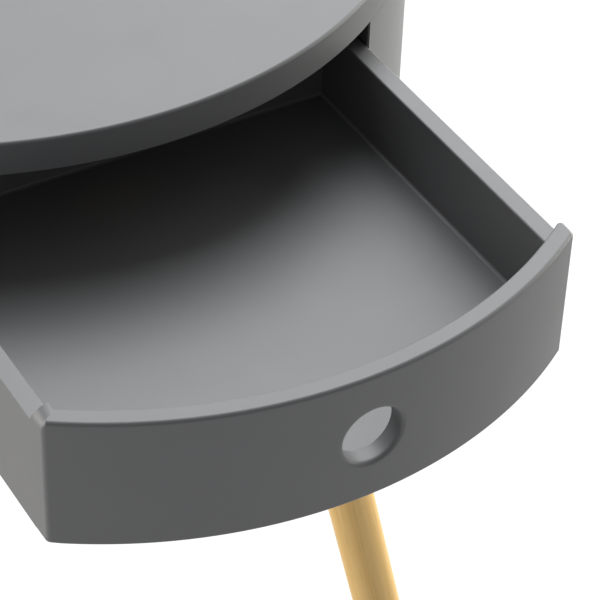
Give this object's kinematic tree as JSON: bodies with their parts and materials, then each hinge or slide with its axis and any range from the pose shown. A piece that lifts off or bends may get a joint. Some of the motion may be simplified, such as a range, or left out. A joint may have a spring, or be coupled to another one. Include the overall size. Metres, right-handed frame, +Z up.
{
  "type": "side table with drawer",
  "caption": "Round drum side table on splayed, tapered wooden legs, with a bent-front drawer that slides out by a round finger hole.",
  "frame": {"origin": "on the floor, under the axis of the round drum", "axes": "+Z up, -Y the way the drawer opens, +X to the right of a viewer who faces the drawer"},
  "size_m": [0.4, 0.5791, 0.5],
  "materials": {
    "painted_board": "satin grey paint on fibreboard, softly rolled",
    "drawer_panel": "satin grey foil on thin fibreboard",
    "inner_wood": "sanded, unpainted",
    "leg_wood": "pale wood, clear matt lacquer",
    "zinc_steel": "zinc plated",
    "black_steel": "black powder coat",
    "felt": "pressed felt",
    "soft_rubber": "matt",
    "slip_tape": "smooth, low friction"
  },
  "bodies": {
    "table": {"top_board": "painted_board", "bottom_board": "painted_board", "side_wall": "painted_board", "guide_left": "inner_wood", "guide_right": "inner_wood", "stop_rail": "inner_wood", "rear_stop_left": "inner_wood", "rear_stop_right": "inner_wood", "rear_bumpers": "soft_rubber", "slide_tape_left": "slip_tape", "slide_tape_right": "slip_tape", "wall_dowels": "inner_wood", "guide_screws": "zinc_steel", "stop_rail_screws": "zinc_steel", "leg_front_left": "leg_wood", "leg_plate_front_left": "black_steel", "foot_pad_front_left": "felt", "leg_front_right": "leg_wood", "leg_plate_front_right": "black_steel", "foot_pad_front_right": "felt", "leg_back": "leg_wood", "leg_plate_back": "black_steel", "foot_pad_back": "felt", "leg_studs": "zinc_steel", "plate_screws": "zinc_steel"},
    "drawer": {"drawer_front": "painted_board", "drawer_side_left": "painted_board", "drawer_side_right": "painted_board", "drawer_back": "painted_board", "drawer_bottom": "drawer_panel", "drawer_stop": "inner_wood", "front_dowels": "inner_wood", "drawer_back_screws": "zinc_steel", "drawer_bottom_screws": "zinc_steel", "drawer_stop_screws": "zinc_steel"}
  },
  "joints": [
    {"name": "drawer_slide", "type": "slide", "parent": "table", "child": "drawer", "axis": [0, -1, 0], "range_m": [-0.1515, 0.003]}
  ]
}
